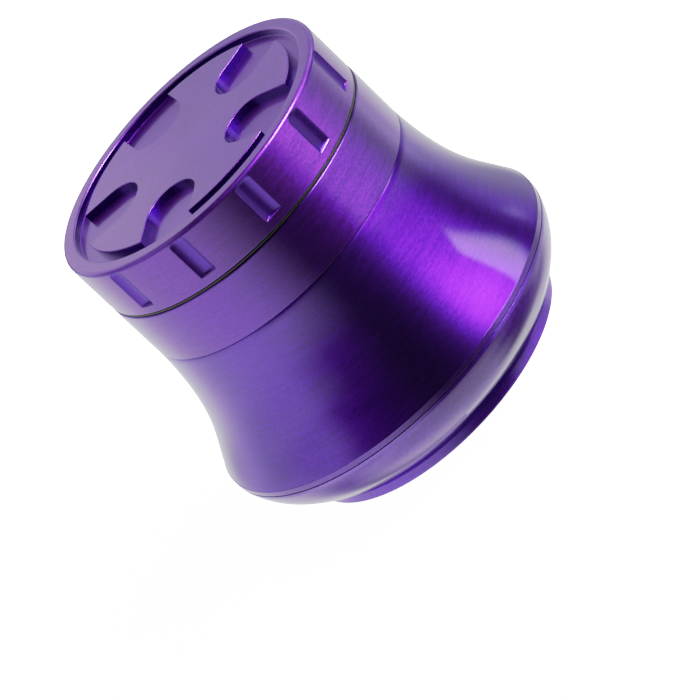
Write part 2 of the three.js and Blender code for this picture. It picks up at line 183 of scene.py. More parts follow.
class Nodes:
    """Short forms for building a node tree."""

    def __init__(self, tree):
        self.tree = tree

    def add(self, kind, **settings):
        node = self.tree.nodes.new(kind)
        for name, value in settings.items():
            setattr(node, name, value)
        return node

    def link(self, source, target):
        self.tree.links.new(source, target)
        return target

    def feed(self, socket, value):
        """Links a socket, or sets a plain number."""
        if isinstance(value, bpy.types.NodeSocket):
            self.link(value, socket)
        else:
            socket.default_value = value

    def math(self, operation, a, b=0.0):
        node = self.add("ShaderNodeMath", operation=operation)
        self.feed(node.inputs[0], a)
        self.feed(node.inputs[1], b)
        return node.outputs[0]

    def rise(self, value, start, end, low=0.0, high=1.0):
        """A smooth step from low at start to high at end."""
        node = self.add("ShaderNodeMapRange", interpolation_type="SMOOTHSTEP")
        self.feed(node.inputs["Value"], value)
        node.inputs["From Min"].default_value = start
        node.inputs["From Max"].default_value = end
        node.inputs["To Min"].default_value = low
        node.inputs["To Max"].default_value = high
        return node.outputs["Result"]

    def band(self, value, start, end, soft):
        """One between start and end, and zero outside, with soft edges."""
        enter = self.rise(value, start - soft, start + soft)
        leave = self.rise(value, end - soft, end + soft, 1.0, 0.0)
        return self.math("MULTIPLY", enter, leave)

    def noise(self, vector, scale, detail=2.0, roughness=0.5):
        node = self.add("ShaderNodeTexNoise")
        self.link(vector, node.inputs["Vector"])
        node.inputs["Scale"].default_value = scale
        node.inputs["Detail"].default_value = detail
        node.inputs["Roughness"].default_value = roughness
        return node.outputs["Fac"]

    def bump(self, height, strength, distance):
        node = self.add("ShaderNodeBump")
        node.inputs["Strength"].default_value = strength
        node.inputs["Distance"].default_value = distance
        self.link(height, node.inputs["Height"])
        return node.outputs["Normal"]


def new_material(name):
    """A node material with its helper and its main shader."""
    material = bpy.data.materials.new(name)
    material.use_nodes = True
    return material, Nodes(material.node_tree), material.node_tree.nodes["Principled BSDF"]


# ----------------------------------------------------------------------- materials

# The dye took a little differently on each part. Two colours stand for light instead of dye: a darker one
# is painted shade on the walls in the lid's recess, and a lighter one is painted light on the catcher's
# foot ring.
BODY_PURPLE = (0.138, 0.015, 0.52)
DRUM_PURPLE = (0.165, 0.0175, 0.51)
LID_PURPLE = (0.2, 0.025, 0.53)
# The walls inside the lid's recess get a darker purple as painted shade, for the shade that fills the
# narrow groove.
LID_WALL_SHADE_PURPLE = (0.08, 0.01, 0.26)
NOTCH_PURPLE = (0.13, 0.017, 0.47)
BEVEL_PURPLE = (0.135, 0.03, 0.4)
# The foot ring's purple is painted light: lighter than the rest of the same dyed part, so that the ring
# under the overhanging bevel shows lit.
FOOT_LIT_PURPLE = (0.24, 0.03, 0.8)

# Cutting marks: how many in a radian and in a metre, and the finer ones' share.
FINE_MARKS = (45.0, 5200.0)
BROAD_MARKS = (5.0, 1600.0)
FINE_SHARE = 0.65
DARKEST, LIGHTEST = 0.72, 1.18  # shade from mark to mark, as a share of the dye's

TURNED_COAT_IOR = 1.7
MILLED_COAT_IOR = 1.45


def turned_coordinates(nodes, along, across):
    """A coordinate for cutting marks: slow round the axis, fast from one groove to the next.

    along is how many marks there are in a radian, and across how many in a metre.
    """
    place = nodes.add("ShaderNodeTexCoord").outputs["Object"]
    split = nodes.add("ShaderNodeSeparateXYZ")
    nodes.link(place, split.inputs[0])
    flat = nodes.add("ShaderNodeCombineXYZ")
    nodes.link(split.outputs["X"], flat.inputs["X"])
    nodes.link(split.outputs["Y"], flat.inputs["Y"])
    length = nodes.add("ShaderNodeVectorMath", operation="LENGTH")
    nodes.link(flat.outputs[0], length.inputs[0])
    unit = nodes.add("ShaderNodeVectorMath", operation="NORMALIZE")
    nodes.link(flat.outputs[0], unit.inputs[0])
    sides = nodes.add("ShaderNodeSeparateXYZ")
    nodes.link(unit.outputs[0], sides.inputs[0])
    step = nodes.math("SUBTRACT", split.outputs["Z"], length.outputs["Value"])
    joined = nodes.add("ShaderNodeCombineXYZ")
    nodes.link(nodes.math("MULTIPLY", sides.outputs["X"], along), joined.inputs["X"])
    nodes.link(nodes.math("MULTIPLY", sides.outputs["Y"], along), joined.inputs["Y"])
    nodes.link(nodes.math("MULTIPLY", step, across), joined.inputs["Z"])
    return joined.outputs[0]


def dyed(shader, coat_roughness, coat_ior):
    """Tinted metal under a clear hard oxide layer."""
    shader.inputs["Metallic"].default_value = 1.0
    shader.inputs["Coat Weight"].default_value = 1.0
    shader.inputs["Coat Roughness"].default_value = coat_roughness
    shader.inputs["Coat IOR"].default_value = coat_ior


def vary_shade(nodes, shader, colour, share):
    """A small change of shade from mark to mark."""
    shade = nodes.add("ShaderNodeMix", data_type="RGBA")
    nodes.link(share, shade.inputs["Factor"])
    shade.inputs["A"].default_value = (*(part * DARKEST for part in colour), 1)
    shade.inputs["B"].default_value = (*(part * LIGHTEST for part in colour), 1)
    nodes.link(shade.outputs["Result"], shader.inputs["Base Color"])


def turned_purple(name, colour, roughness, anisotropy, groove, coat_roughness):
    """Dyed aluminium with fine cutting marks round the axis. groove is their depth in metres."""
    material, nodes, shader = new_material(name)
    dyed(shader, coat_roughness, TURNED_COAT_IOR)
    fine = nodes.noise(turned_coordinates(nodes, *FINE_MARKS), 1.0, 2.0, 0.6)
    broad = nodes.noise(turned_coordinates(nodes, *BROAD_MARKS), 1.0, 2.0, 0.5)
    fine_part = nodes.math("MULTIPLY", fine, FINE_SHARE)
    broad_part = nodes.math("MULTIPLY", broad, 1 - FINE_SHARE)
    mixed = nodes.math("ADD", fine_part, broad_part)
    vary_shade(nodes, shader, colour, nodes.rise(mixed, 0.35, 0.65))
    worn = nodes.rise(mixed, 0.3, 0.7, roughness * 0.92, roughness * 1.08)
    nodes.link(worn, shader.inputs["Roughness"])
    nodes.link(nodes.bump(fine, 1.0, groove), shader.inputs["Coat Normal"])
    tangent = nodes.add("ShaderNodeTangent", direction_type="RADIAL", axis="Z")
    nodes.link(tangent.outputs[0], shader.inputs["Tangent"])
    shader.inputs["Anisotropic"].default_value = anisotropy
    shader.inputs["Anisotropic Rotation"].default_value = 0.25
    return material


def milled_purple(name, colour, roughness, coat_roughness):
    """Dyed aluminium as an end mill leaves it, with an even grain."""
    material, nodes, shader = new_material(name)
    dyed(shader, coat_roughness, MILLED_COAT_IOR)
    place = nodes.add("ShaderNodeTexCoord").outputs["Object"]
    grain = nodes.noise(place, 4500.0, 3.0, 0.6)
    vary_shade(nodes, shader, colour, nodes.rise(grain, 0.3, 0.7))
    nodes.link(nodes.rise(grain, 0.3, 0.7, roughness * 0.85, roughness * 1.15), shader.inputs["Roughness"])
    nodes.link(nodes.bump(grain, 1.0, 0.000006), shader.inputs["Normal"])
    return material


def metal(name, colour, roughness, marks):
    """Bare metal with a faint grain."""
    material, nodes, shader = new_material(name)
    place = nodes.add("ShaderNodeTexCoord").outputs["Object"]
    grain = nodes.noise(place, 2500.0, 3.0, 0.6)
    shader.inputs["Base Color"].default_value = (*colour, 1)
    shader.inputs["Metallic"].default_value = 1.0
    nodes.link(nodes.rise(grain, 0.3, 0.7, roughness * 0.7, roughness * 1.3), shader.inputs["Roughness"])
    nodes.link(nodes.bump(grain, marks, 0.000004), shader.inputs["Normal"])
    return material


def moulded(name, dark, light, roughness, marks):
    """Rubber or plastic with a fine mould texture and slight mottling."""
    material, nodes, shader = new_material(name)
    place = nodes.add("ShaderNodeTexCoord").outputs["Object"]
    grain = nodes.noise(place, 3500.0, 2.0, 0.5)
    mottle = nodes.noise(place, 260.0, 3.0, 0.5)
    shade = nodes.add("ShaderNodeMix", data_type="RGBA")
    nodes.link(nodes.rise(mottle, 0.35, 0.65), shade.inputs["Factor"])
    shade.inputs["A"].default_value = (*dark, 1)
    shade.inputs["B"].default_value = (*light, 1)
    nodes.link(shade.outputs["Result"], shader.inputs["Base Color"])
    nodes.link(nodes.rise(grain, 0.3, 0.7, roughness * 0.8, roughness * 1.2), shader.inputs["Roughness"])
    nodes.link(nodes.bump(grain, marks, 0.00002), shader.inputs["Normal"])
    return material


SATIN = turned_purple("satin_body", BODY_PURPLE, 0.4, 0.95, 0.000006, 0.08)
POLISHED = turned_purple("polished_body", BEVEL_PURPLE, 0.38, 0.9, 0.0000006, 0.05)
# Painted light: a lighter satin for the foot ring under the bevel.
FOOT_SATIN_LIT = turned_purple("satin_foot_painted_light", FOOT_LIT_PURPLE, 0.62, 0.85, 0.000006, 0.1)
DRUM_SATIN = turned_purple("satin_drum", DRUM_PURPLE, 0.4, 0.95, 0.000006, 0.1)
LID_SIDE = turned_purple("satin_lid", LID_PURPLE, 0.47, 0.91, 0.000006, 0.16)
LID_TOP = turned_purple("faced_lid", LID_PURPLE, 0.42, 0.3, 0.000002, 0.16)
LID_MILLED = milled_purple("milled_lid", LID_PURPLE, 0.4, 0.12)
# Painted shade: a darker milled finish for the steep walls in the lid's recess.
LID_WALL_SHADED = milled_purple("milled_lid_wall_painted_shade", LID_WALL_SHADE_PURPLE, 0.26, 0.12)
LID_NOTCH = milled_purple("milled_notch", NOTCH_PURPLE, 0.5, 0.3)
RUBBER = moulded("black_rubber", (0.012, 0.012, 0.013), (0.022, 0.022, 0.024), 0.55, 0.3)
NYLON = moulded("dark_nylon", (0.03, 0.034, 0.022), (0.045, 0.05, 0.032), 0.25, 0.1)
SILICONE = moulded("clear_silicone", (0.62, 0.61, 0.58), (0.7, 0.69, 0.66), 0.45, 0.2)
STEEL = metal("stainless_steel", (0.62, 0.62, 0.63), 0.25, 0.3)
NICKEL = metal("nickel_plate", (0.72, 0.68, 0.62), 0.16, 0.15)

# ----------------------------------------------------------------------- mesh help


def arc_between(before, corner, after, fillet, steps=6):
    """The points that round one corner of an outline."""
    to_before = (before - corner).normalized()
    to_after = (after - corner).normalized()
    half = to_before.angle(to_after) / 2
    reach = min(fillet / math.tan(half), (before - corner).length * 0.49, (after - corner).length * 0.49)
    size = reach * math.tan(half)
    centre = corner + (to_before + to_after).normalized() * (size / math.sin(half))
    start = corner + to_before * reach - centre
    end = corner + to_after * reach - centre
    turn = start.angle(end)
    points = []
    for i in range(steps + 1):
        share = i / steps
        blend = start * math.sin((1 - share) * turn) + end * math.sin(share * turn)
        points.append(centre + blend / math.sin(turn))
    return points


def outline(corners, closed):
    """Turns (radius, height, fillet) corners into points, with the corners rounded."""
    spots = [Vector((corner[0], corner[1])) for corner in corners]
    fillets = [corner[2] if len(corner) > 2 else 0 for corner in corners]
    points = []
    for i, spot in enumerate(spots):
        at_end = not closed and i in (0, len(spots) - 1)
        if fillets[i] == 0 or at_end:
            points.append(spot)
            continue
        points += arc_between(spots[i - 1], spot, spots[(i + 1) % len(spots)], fillets[i])
    return points


def curve_points(start, pull_a, pull_b, end, steps):
    """Corners along a cubic curve, without fillets."""
    corners = []
    for i in range(steps + 1):
        t = i / steps
        weights = ((1 - t) ** 3, 3 * t * (1 - t) ** 2, 3 * t * t * (1 - t), t**3)
        pulls = (start, pull_a, pull_b, end)
        radius = sum(weight * pull[0] for weight, pull in zip(weights, pulls))
        height = sum(weight * pull[1] for weight, pull in zip(weights, pulls))
        corners.append((radius, height))
    return corners


def piece_from(name, bm, foot=0.0):
    """An object from a bmesh in millimetres, lifted to its foot height."""
    to_metres = Matrix.Diagonal((MM, MM, MM, 1)) @ Matrix.Translation((0, 0, foot))
    bmesh.ops.transform(bm, matrix=to_metres, verts=bm.verts)
    bmesh.ops.recalc_face_normals(bm, faces=bm.faces)
    mesh = bpy.data.meshes.new(name)
    bm.to_mesh(mesh)
    bm.free()
    piece = bpy.data.objects.new(name, mesh)
    bpy.context.scene.collection.objects.link(piece)
    return piece


def spin(bm, points, closed, segments=AROUND):
    """Adds a surface of revolution to a bmesh. Points on the axis become one vertex."""
    rings = []
    for point in points:
        if point.x < 1e-6:
            rings.append([bm.verts.new((0, 0, point.y))] * segments)
            continue
        ring = []
        for i in range(segments):
            angle = 2 * math.pi * i / segments
            ring.append(bm.verts.new((point.x * math.cos(angle), point.x * math.sin(angle), point.y)))
        rings.append(ring)
    pairs = list(zip(rings, rings[1:]))
    if closed:
        pairs.append((rings[-1], rings[0]))
    for lower, upper in pairs:
        for i in range(segments):
            j = (i + 1) % segments
            corners = list(dict.fromkeys((lower[i], lower[j], upper[j], upper[i])))
            bm.faces.new(corners)


def turned(name, corners, foot, closed=False):
    """A turned piece from its outline. An open outline starts and ends on the axis."""
    bm = bmesh.new()
    spin(bm, outline(corners, closed), closed)
    return piece_from(name, bm, foot)


def swept(bm, rings):
    """Joins equal rings of points into a bar, with its ends closed."""
    made = [[bm.verts.new(point) for point in ring] for ring in rings]
    count = len(made[0])
    for first, second in zip(made, made[1:]):
        for i in range(count):
            j = (i + 1) % count
            bm.faces.new((first[i], first[j], second[j], second[i]))
    bm.faces.new(list(reversed(made[0])))
    bm.faces.new(made[-1])


def thread_ridges(name, wall, side, lowest, turns, foot):
    """The ridges of a thread, each rising one lead in a turn. side is 1 on an outer wall."""
    bm = bmesh.new()
    steps = round(turns * AROUND)
    run_out = AROUND // 14
    for start in range(THREAD_STARTS):
        rings = []
        for i in range(steps + 1):
            angle = 2 * math.pi * (start / THREAD_STARTS + i / AROUND)
            middle = lowest + LEAD * i / AROUND
            stand = THREAD_DEPTH * min(1.0, (min(i, steps - i) + 0.5) / run_out)
            section = [(-0.3, -0.48), (0, -0.4), (stand - 0.06, -0.22), (stand, -0.15)]
            section += [(reach, -height) for reach, height in reversed(section)]
            ring = []
            for reach, height in section:
                radius = wall + side * reach
                ring.append((radius * math.cos(angle), radius * math.sin(angle), middle + height))
            rings.append(ring)
        swept(bm, rings)
    return piece_from(name, bm, foot)


def combine(body, tool, operation):
    """Joins a tool to a body, or cuts it out, and removes the tool."""
    modifier = body.modifiers.new("combine", "BOOLEAN")
    modifier.operation = operation
    modifier.object = tool
    modifier.solver = "MANIFOLD"
    seen = body.evaluated_get(bpy.context.evaluated_depsgraph_get())
    mesh = bpy.data.meshes.new_from_object(seen)
    body.modifiers.clear()
    body.data = mesh
    bpy.data.objects.remove(tool)
    return body


def around(rings):
    """Yields the radius and angle of every item in a list of rings."""
    for radius, count, first in rings:
        for i in range(count):
            yield radius, math.radians(first + 360 * i / count)


def diamond_teeth(name, rings, low_end, high_end, points_up, foot):
    """Diamond teeth with blunted edges, all in one mesh."""
    half_width, half_length, tip = 1.2, 1.75, 0.78
    root, point = (low_end, high_end) if points_up else (high_end, low_end)
    bm = bmesh.new()
    for radius, angle in around(rings):
        place = Matrix.Rotation(angle, 4, "Z") @ Matrix.Translation((radius, 0, 0))
        corners = ((half_width, 0), (0, half_length), (-half_width, 0), (0, -half_length))
        rings_of_points = []
        for height, scale in ((root, 1.0), (point, tip)):
            rings_of_points.append([place @ Vector((x * scale, y * scale, height)) for x, y in corners])
        swept(bm, rings_of_points)
    bmesh.ops.recalc_face_normals(bm, faces=bm.faces)
    bmesh.ops.bevel(bm, geom=list(bm.edges), offset=0.13, segments=2, affect="EDGES", profile=0.6)
    return piece_from(name, bm, foot)


def shade(piece, crease):
    """Smooth shading that keeps flat faces flat."""
    piece.data.shade_smooth()
    piece.data.set_sharp_from_angle(angle=math.radians(crease))
    modifier = piece.modifiers.new("weighted", "WEIGHTED_NORMAL")
    modifier.keep_sharp = True
    seen = piece.evaluated_get(bpy.context.evaluated_depsgraph_get())
    mesh = bpy.data.meshes.new_from_object(seen)
    piece.modifiers.clear()
    piece.data = mesh


def read_vectors(items, name):
    """One vector of every item of a mesh, as rows of an array."""
    values = np.empty(len(items) * 3)
    items.foreach_get(name, values)
    return values.reshape(-1, 3)


def make_exactly_round(mesh):
    """Points the normals of every narrow upright facet straight out from the axis.

    Cuts leave long thin triangles on a turned wall, and plain smooth shading shows them.
    """
    points = read_vectors(mesh.vertices, "co")[:, :2]
    facing = read_vectors(mesh.polygons, "normal")[:, :2]
    middles = read_vectors(mesh.polygons, "center")[:, :2]
    normals = read_vectors(mesh.corner_normals, "vector")
    sides = np.array([len(face.vertices) for face in mesh.polygons])
    owner = np.repeat(np.arange(len(sides)), sides)
    spots = points[np.array([loop.vertex_index for loop in mesh.loops])]
    reach = np.linalg.norm(spots, axis=1)
    spots = spots / np.maximum(reach, 1e-9)[:, None]
    middles = middles / np.maximum(np.linalg.norm(middles, axis=1), 1e-9)[:, None]
    tilt = np.linalg.norm(facing, axis=1)
    aligned = np.einsum("ij,ij->i", facing, middles)
    widest = math.cos(math.radians(0.55 * 360 / AROUND))
    upright = (tilt > 0.05) & (np.abs(aligned) > widest * tilt)
    narrow = np.einsum("ij,ij->i", spots, middles[owner]) > widest
    narrow &= reach > 2 * MM
    turned_face = upright & np.logical_and.reduceat(narrow, np.cumsum(sides) - sides)
    chosen = turned_face[owner]
    level = np.linalg.norm(normals[:, :2], axis=1) * np.sign(aligned[owner])
    normals[chosen, :2] = spots[chosen] * level[chosen, None]
    mesh.normals_split_custom_set(normals.tolist())


def finish_piece(piece, name, body, slot, materials, node, choose=None, crease=30, cut_from_round=True):
    """Names, paints, shades and mounts a finished piece.

    choose(face) gives the index of the face's material.
    """
    piece.name = name
    piece.data.materials.clear()
    for material in materials:
        piece.data.materials.append(material)
    for face in piece.data.polygons:
        face.material_index = choose(face) if choose else 0
    shade(piece, crease)
    if cut_from_round:
        make_exactly_round(piece.data)
    piece.data.name = name
    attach(piece, body)
    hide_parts(node)
    return piece


def radius_and_height(face):
    """Where the middle of a face lies, in millimetres."""
    return face.center.xy.length / MM, face.center.z / MM


# -------------------------------------------------------------------- catcher bowl


def make_catcher_bowl():
    """Foot ring, polished convex bevel, bowl and threaded collar."""
    shoulder = BOWL_SHOULDER + FOOT_CLOSER
    bevel_top = BOWL_SHOULDER - 0.47
    collar_top = BOWL_SHOULDER + 4.4
    foot_top = 3.7
    foot_radius = 24.5
    bevel = curve_points((26.9, 4.06), (29.2, 5.83), (30.78, 8.0), (BASE_RADIUS - 0.11, bevel_top), 24)
    corners = [
        (0, 0.5),
        (21.3, 0.5, 0.3),
        (21.8, 0, 0.2),
        (24.23, 0, 0.5),
        (24.23, 1.8, 0.2),
        (23.9, 2.15, 0.1),
        (23.9, 3.75, 0.3),
        (26.75, 3.75, 0.05),
        *bevel[:-1],
        (BASE_RADIUS - 0.11, bevel_top, 0.04),
        (BASE_RADIUS, shoulder, 0.03),
        (BOWL_THREAD_WALL, shoulder, 0.1),
        (BOWL_THREAD_WALL, collar_top, 0.3),
        (22.9, collar_top, 0.3),
        (22.9, 2.6, 3.0),
        (0, 2.6),
    ]
    bowl = turned("catcher_shell", corners, BOWL_FOOT)
    ridges = thread_ridges("ridges", BOWL_THREAD_WALL, 1, BOWL_SHOULDER + BOWL_RIDGE, 1.06, BOWL_FOOT)
    combine(bowl, ridges, "UNION")
    wall, bevelled, foot = range(3)

    def choose(face):
        radius, height = radius_and_height(face)
        # The foot ring takes the lighter purple of painted light.
        if height < foot_top:
            return foot
        return bevelled if height < bevel_top and radius > foot_radius else wall

    materials = [SATIN, POLISHED, FOOT_SATIN_LIT]
    finish_piece(bowl, "catcher_shell", "catcher", "anodised_aluminium", materials, "catcher_bowl", choose)


# ----------------------------------------------------------------- storage chamber


def make_storage_chamber():
    """The flared chamber, with a polished land along its foot."""
    top = STORAGE_HEIGHT
    land = 0.95
    groove_radius = 29.4
    flare = curve_points(
        (BASE_RADIUS - 0.1, land), (29.54, 5.69), (25.74, 9.22), (DRUM_RADIUS, top - 0.3), 50
    )
    bowl_wall = inner_wall(BOWL_THREAD_WALL)
    neck_wall = inner_wall(NECK_THREAD_WALL)
    corners = [
        (bowl_wall, 0, 0.25),
        (28.0, 0, 0.1),
        (28.0, 1.05, 0.1),
        (groove_radius, 1.05, 0.1),
        (groove_radius, 0, 0.1),
        (BASE_RADIUS, 0, 0.1),
        (BASE_RADIUS - 0.01, land, 0.05),
        *flare,
        (DRUM_RADIUS - 0.13, top, 0.03),
        (23.6, top, 0.1),
        (23.6, top - 1, 0.1),
        (neck_wall, top - 1, 0.1),
        (neck_wall, 18.35, 0.1),
        (21.2, 18.35, 0.2),
        (23.2, 9.45, 0.6),
        (23.0, 7.95, 0.1),
        (25.4, 7.95, 0.1),
        (25.4, 6.45, 0.05),
        (26.0, 6.45, 0.05),
        (26.0, 5.45, 0.05),
        (25.4, 5.45, 0.05),
        (25.4, 4.95, 0.1),
        (bowl_wall, 4.95, 0.1),
    ]
    chamber = turned("storage_shell", corners, STORAGE_FOOT, closed=True)
    half_pitch = THREAD_PITCH / 2
    bowl_ridge = BOWL_FOOT + BOWL_SHOULDER + BOWL_RIDGE + half_pitch - STORAGE_FOOT
    neck_ridge = CHAMBER_FOOT + NECK_RIDGE + half_pitch - STORAGE_FOOT
    for wall, lowest, turns in ((bowl_wall, bowl_ridge, 1.0), (neck_wall, neck_ridge, 0.83)):
        ridges = thread_ridges("ridges", wall, -1, lowest, turns, STORAGE_FOOT)
        combine(chamber, ridges, "UNION")

    def choose(face):
        radius, height = radius_and_height(face)
        on_land = height < STORAGE_FOOT + land and radius > groove_radius + 0.1
        return 1 if on_land else 0

    node = "storage_chamber"
    materials = [SATIN, POLISHED]
    finish_piece(chamber, "storage_shell", "storage", "anodised_aluminium", materials, node, choose)


# ---------------------------------------------------------------- grinding chamber


def drop_hole_cutters(foot):
    """Round cutters for the drop holes, widening where they meet the floor."""
    bm = bmesh.new()
    floor_low, floor_high = CHAMBER_FLOOR_LOW, CHAMBER_FLOOR
    radius = DROP_HOLE_RADIUS
    sections = [
        (radius + 0.4, floor_low - 0.3),
        (radius, floor_low + 0.1),
        (radius, floor_high - 0.18),
        (radius + 0.48, floor_high + 0.3),
    ]
    sides = 32
    for ring_radius, angle in around(DROP_HOLES):
        place = Matrix.Rotation(angle, 4, "Z") @ Matrix.Translation((ring_radius, 0, 0))
        rings = []
        for size, height in sections:
            ring = []
            for i in range(sides):
                turn = 2 * math.pi * i / sides
                ring.append(place @ Vector((size * math.cos(turn), size * math.sin(turn), height)))
            rings.append(ring)
        swept(bm, rings)
    return piece_from("cutters", bm, foot)


def make_grinding_chamber():
    """Drum with a threaded skirt, drop holes, teeth and the magnet's boss."""
    foot = -NECK_CLOSER
    top = CHAMBER_HEIGHT
    boss_top = 7.65
    corners = [
        (0, CHAMBER_FLOOR_LOW),
        (19.9, CHAMBER_FLOOR_LOW, 0.4),
        (19.9, -SKIRT_DEPTH, 0.25),
        (NECK_THREAD_WALL, -SKIRT_DEPTH, 0.3),
        (NECK_THREAD_WALL, foot, 0.1),
        (DRUM_RADIUS, foot, 0.08),
        (DRUM_RADIUS, top, 0.2),
        (22.85, top, 0.25),
        (22.85, CHAMBER_FLOOR, 1.2),
        (BOSS_RADIUS, CHAMBER_FLOOR, 0.3),
        (BOSS_RADIUS, boss_top, 0.25),
        (POCKET_RADIUS, boss_top, 0.1),
        (POCKET_RADIUS, boss_top - 2.5),
        (0, boss_top - 2.5),
    ]
    drum = turned("grinding_shell", corners, CHAMBER_FOOT)
    combine(drum, thread_ridges("ridges", NECK_THREAD_WALL, 1, NECK_RIDGE, 1.06, CHAMBER_FOOT), "UNION")
    tooth_top = CHAMBER_HEIGHT + LID_SEAM + LID_CEILING - TOOTH_CLEARANCE
    teeth = diamond_teeth("teeth", FLOOR_TEETH, CHAMBER_FLOOR - 0.5, tooth_top, True, CHAMBER_FOOT)
    combine(drum, teeth, "UNION")
    combine(drum, drop_hole_cutters(CHAMBER_FOOT), "DIFFERENCE")
    finish_piece(drum, "grinding_shell", "chamber", "anodised_aluminium", [DRUM_SATIN], "grinding_chamber")


# ----------------------------------------------------------------------------- lid


def rosette_outline(steps=14):
    """The scalloped edge of the disc on the lid, as points, counter-clockwise."""
    half_angle = math.asin(SCALLOP_HALF / ROSETTE_RADIUS)
    pitch = 2 * math.pi / SCALLOPS
    points = []
    for i in range(SCALLOPS):
        middle = math.pi / 2 + pitch * i
        centre = Vector((math.cos(middle), math.sin(middle))) * SCALLOP_CENTRE
        for j in range(steps + 1):
            angle = middle - math.pi / 2 - math.pi * j / steps
            points.append(centre + Vector((math.cos(angle), math.sin(angle))) * SCALLOP_HALF)
        for j in range(steps + 1):
            angle = middle + half_angle + (pitch - 2 * half_angle) * j / steps
            points.append(Vector((math.cos(angle), math.sin(angle))) * ROSETTE_RADIUS)
    return points


def shrunk(points, amount):
    """A closed outline moved inwards by an amount at every point."""
    moved = []
    count = len(points)
    for i in range(count):
        before = (points[i] - points[i - 1]).normalized()
        after = (points[(i + 1) % count] - points[i]).normalized()
        inward_a = Vector((-before.y, before.x))
        inward_b = Vector((-after.y, after.x))
        normal = (inward_a + inward_b).normalized()
        moved.append(points[i] + normal * (amount / max(0.4, normal.dot(inward_a))))
    return moved


def make_rosette(foot):
    """The raised scalloped disc, with a rounded upper edge."""
    edge = 0.16
    floor = LID_HEIGHT - RECESS_DEPTH
    rim = rosette_outline()
    levels = [(0, floor - 0.5), (0, LID_HEIGHT - edge)]
    for i in range(1, 6):
        angle = math.pi / 2 * i / 5
        levels.append((edge * (1 - math.cos(angle)), LID_HEIGHT - edge * (1 - math.sin(angle))))
    bm = bmesh.new()
    swept(bm, [[(p.x, p.y, height) for p in shrunk(rim, inset)] for inset, height in levels])
    return piece_from("rosette", bm, foot)


def notch_outline(half, top, bottom):
    """A grip notch seen from outside, as (across, height) points: round above, square below."""
    upper, lower = 0.6 * half, 0.12 * half
    corners = [
        (half - lower, bottom + lower, lower, -90),
        (half - upper, top - upper, upper, 0),
        (upper - half, top - upper, upper, 90),
        (lower - half, bottom + lower, lower, 180),
    ]
    points = []
    for across, height, size, start in corners:
        for i in range(9):
            angle = math.radians(start + 90 * i / 8)
            points.append((across + size * math.cos(angle), height + size * math.sin(angle)))
    return points


def notch_cutters(foot):
    """Cutters for the grip notches: shallow hollows, round across, with a leaning lower end."""
    half, depth = NOTCH_HALF, NOTCH_DEPTH
    curve = (half * half + depth * depth) / (2 * depth)
    steepest = math.asin(half / curve)
    sides = []
    for i in range(1, 10):
        lean = steepest * i / 9.5
        sides.append((curve * math.sin(lean), depth - curve * (1 - math.cos(lean))))
    sides += [(half, 0.07), (half + 0.08, 0.02), (half + 0.5, -0.12), (half + 1.2, -0.5)]
    bm = bmesh.new()
    for n in range(NOTCHES):
        turn = Matrix.Rotation(2 * math.pi * n / NOTCHES, 4, "Z")
        rings = []
        for width, sink in sides:
            top = NOTCH_HIGH - 0.6 * (half - width)
            bottom = NOTCH_LOW + min(sink, NOTCH_LEAN)
            points = notch_outline(width, top, bottom)
            rings.append([turn @ Vector((LID_RADIUS - sink, across, height)) for across, height in points])
        swept(bm, rings)
    return piece_from("cutters", bm, foot)


def make_lid():
    """The lid: notched side, recessed top with the rosette, spigot, teeth and boss."""
    boss_foot = -1.85
    spigot_foot = -3.55
    floor = LID_HEIGHT - RECESS_DEPTH
    corners = [
        (0, boss_foot + 2.5),
        (POCKET_RADIUS, boss_foot + 2.5),
        (POCKET_RADIUS, boss_foot, 0.1),
        (BOSS_RADIUS, boss_foot, 0.25),
        (BOSS_RADIUS, LID_CEILING, 0.3),
        (LID_BORE, LID_CEILING, 1.2),
        (LID_BORE, spigot_foot, 0.25),
        (22.0, spigot_foot, 0.3),
        (22.0, 0, 0.1),
        (LID_RADIUS, 0, 0.2),
        (LID_RADIUS, LID_HEIGHT, 0.75),
        (RECESS_RADIUS, LID_HEIGHT, 0.3),
        (RECESS_RADIUS, floor, 0.15),
        (0, floor),
    ]
    body = turned("lid_shell", corners, LID_FOOT)
    combine(body, make_rosette(LID_FOOT), "UNION")
    tooth_tip = CHAMBER_FLOOR + TOOTH_CLEARANCE - CHAMBER_HEIGHT - LID_SEAM
    teeth = diamond_teeth("teeth", LID_TEETH, tooth_tip, LID_CEILING + 0.5, False, LID_FOOT)
    combine(body, teeth, "UNION")
    combine(body, notch_cutters(LID_FOOT), "DIFFERENCE")
    side, faced, milled, wall, notch = range(5)

    def choose(face):
        radius, height = radius_and_height(face)
        height -= LID_FOOT
        inside_rim = radius < RECESS_RADIUS + 0.02 and floor - 0.01 < height < LID_HEIGHT - 0.01
        in_notch = 24 < radius < LID_RADIUS - 0.05 and NOTCH_LOW - 0.2 < height < NOTCH_HIGH + 0.2
        if in_notch:
            return milled if face.normal.z > 0.5 else notch
        if inside_rim:
            # Steep faces inside the rim take the darker purple of painted shade.
            return wall if face.normal.z < 0.3 else milled
        return faced if height > LID_HEIGHT - 0.5 and face.normal.z > 0.5 else side

    materials = [LID_SIDE, LID_TOP, LID_MILLED, LID_WALL_SHADED, LID_NOTCH]
    finish_piece(body, "lid_shell", "lid", "anodised_aluminium", materials, "lid", choose)


# -------------------------------------------------------------------- small pieces


